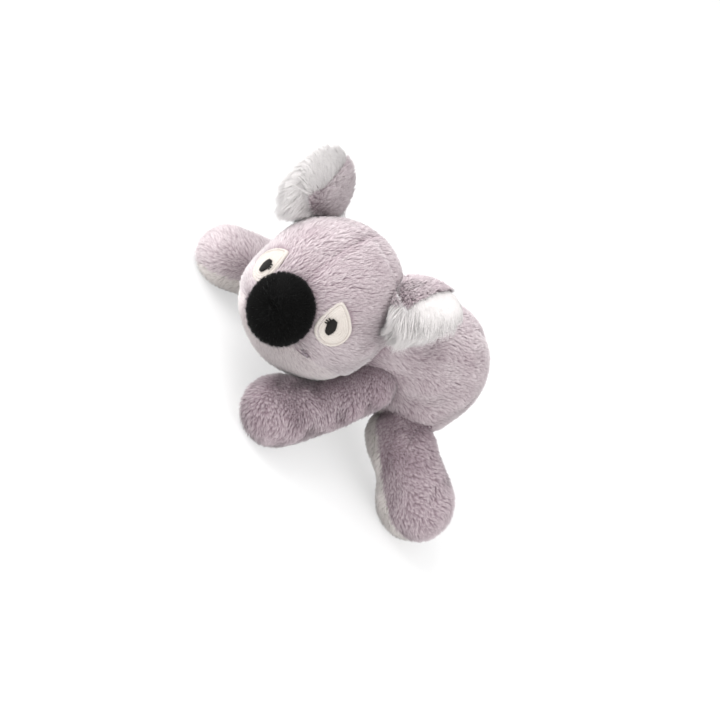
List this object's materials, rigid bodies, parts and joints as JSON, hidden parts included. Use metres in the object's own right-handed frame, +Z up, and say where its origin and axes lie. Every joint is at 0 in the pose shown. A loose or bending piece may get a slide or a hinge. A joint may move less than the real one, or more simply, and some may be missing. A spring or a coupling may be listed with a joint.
{
  "type": "plush magnet",
  "caption": "Small clinging koala soft toy with a turning head, floppy ears and sewn-in magnets in its four paws.",
  "frame": {"origin": "on the surface that the toy's four paws rest on, under the middle of its bounding box", "axes": "+Z up, -Y the way the toy's body points towards its head, +X the toy's own left"},
  "size_m": [0.108, 0.1064, 0.0713],
  "materials": {
    "lilac_plush": "short lilac-grey minky pile",
    "cream_plush": "short cream pile",
    "white_long_pile": "long white fur pile",
    "cream_felt": "cream velour with a stitched border",
    "black_plush": "short black pile",
    "black_thread": "satin-stitched black thread",
    "stuffing": "white polyester fibre fill",
    "magnet_nickel": "nickel-plated disc magnet",
    "capsule_plastic": "moulded plastic"
  },
  "bodies": {
    "body": {"body_left_panel": "lilac_plush", "body_right_panel": "lilac_plush", "belly_panel": "cream_plush", "body_stuffing": "stuffing"},
    "head": {"head_left_panel": "lilac_plush", "head_right_panel": "lilac_plush", "head_back_panel": "lilac_plush", "chin_panel": "lilac_plush", "head_stuffing": "stuffing", "nose_cover": "black_plush", "nose_stuffing": "stuffing", "left_eye_patch": "cream_felt", "left_pupil": "black_thread", "left_mouth_stitch": "black_thread", "right_eye_patch": "cream_felt", "right_pupil": "black_thread", "right_mouth_stitch": "black_thread"},
    "left_ear": {"left_ear_front": "white_long_pile", "left_ear_back": "lilac_plush"},
    "right_ear": {"right_ear_front": "white_long_pile", "right_ear_back": "lilac_plush"},
    "left_arm": {"left_arm_outer_panel": "lilac_plush", "left_arm_inner_panel": "cream_plush", "left_arm_stuffing": "stuffing", "left_arm_magnet": "magnet_nickel", "left_arm_capsule_cup": "capsule_plastic", "left_arm_capsule_lid": "capsule_plastic"},
    "right_arm": {"right_arm_outer_panel": "lilac_plush", "right_arm_inner_panel": "cream_plush", "right_arm_stuffing": "stuffing", "right_arm_magnet": "magnet_nickel", "right_arm_capsule_cup": "capsule_plastic", "right_arm_capsule_lid": "capsule_plastic"},
    "left_leg": {"left_leg_outer_panel": "lilac_plush", "left_leg_inner_panel": "cream_plush", "left_leg_stuffing": "stuffing", "left_leg_magnet": "magnet_nickel", "left_leg_capsule_cup": "capsule_plastic", "left_leg_capsule_lid": "capsule_plastic"},
    "right_leg": {"right_leg_outer_panel": "lilac_plush", "right_leg_inner_panel": "cream_plush", "right_leg_stuffing": "stuffing", "right_leg_magnet": "magnet_nickel", "right_leg_capsule_cup": "capsule_plastic", "right_leg_capsule_lid": "capsule_plastic"}
  },
  "joints": [
    {"name": "head_turn", "type": "hinge", "parent": "body", "child": "head", "pos_m": [-0.0061, -0.0204, 0.0376], "axis": [-0.2226, -0.166, 0.9607], "range_deg": [-12, 12]},
    {"name": "left_ear_flop", "type": "hinge", "parent": "head", "child": "left_ear", "pos_m": [0.00251, -0.00986, 0.06166], "axis": [-0.7256, 0.6772, 0.1223], "range_deg": [-45, 10]},
    {"name": "right_ear_flop", "type": "hinge", "parent": "head", "child": "right_ear", "pos_m": [-0.02887, -0.02764, 0.05121], "axis": [-0.2155, 0.9763, 0.0182], "range_deg": [-45, 20]},
    {"name": "left_arm_open", "type": "hinge", "parent": "body", "child": "left_arm", "pos_m": [0.01201, 0.0075, 0.02734], "axis": [0, 0, 1], "range_deg": [0, 30]},
    {"name": "right_arm_open", "type": "hinge", "parent": "body", "child": "right_arm", "pos_m": [-0.02002, 0.0087, 0.02734], "axis": [0, 0, -1], "range_deg": [0, 30]},
    {"name": "left_leg_open", "type": "hinge", "parent": "body", "child": "left_leg", "pos_m": [0.02183, 0.0305, 0.01935], "axis": [0, -1, 0], "range_deg": [0, 25]},
    {"name": "right_leg_open", "type": "hinge", "parent": "body", "child": "right_leg", "pos_m": [-0.02183, 0.0305, 0.01935], "axis": [0, 1, 0], "range_deg": [0, 25]}
  ]
}
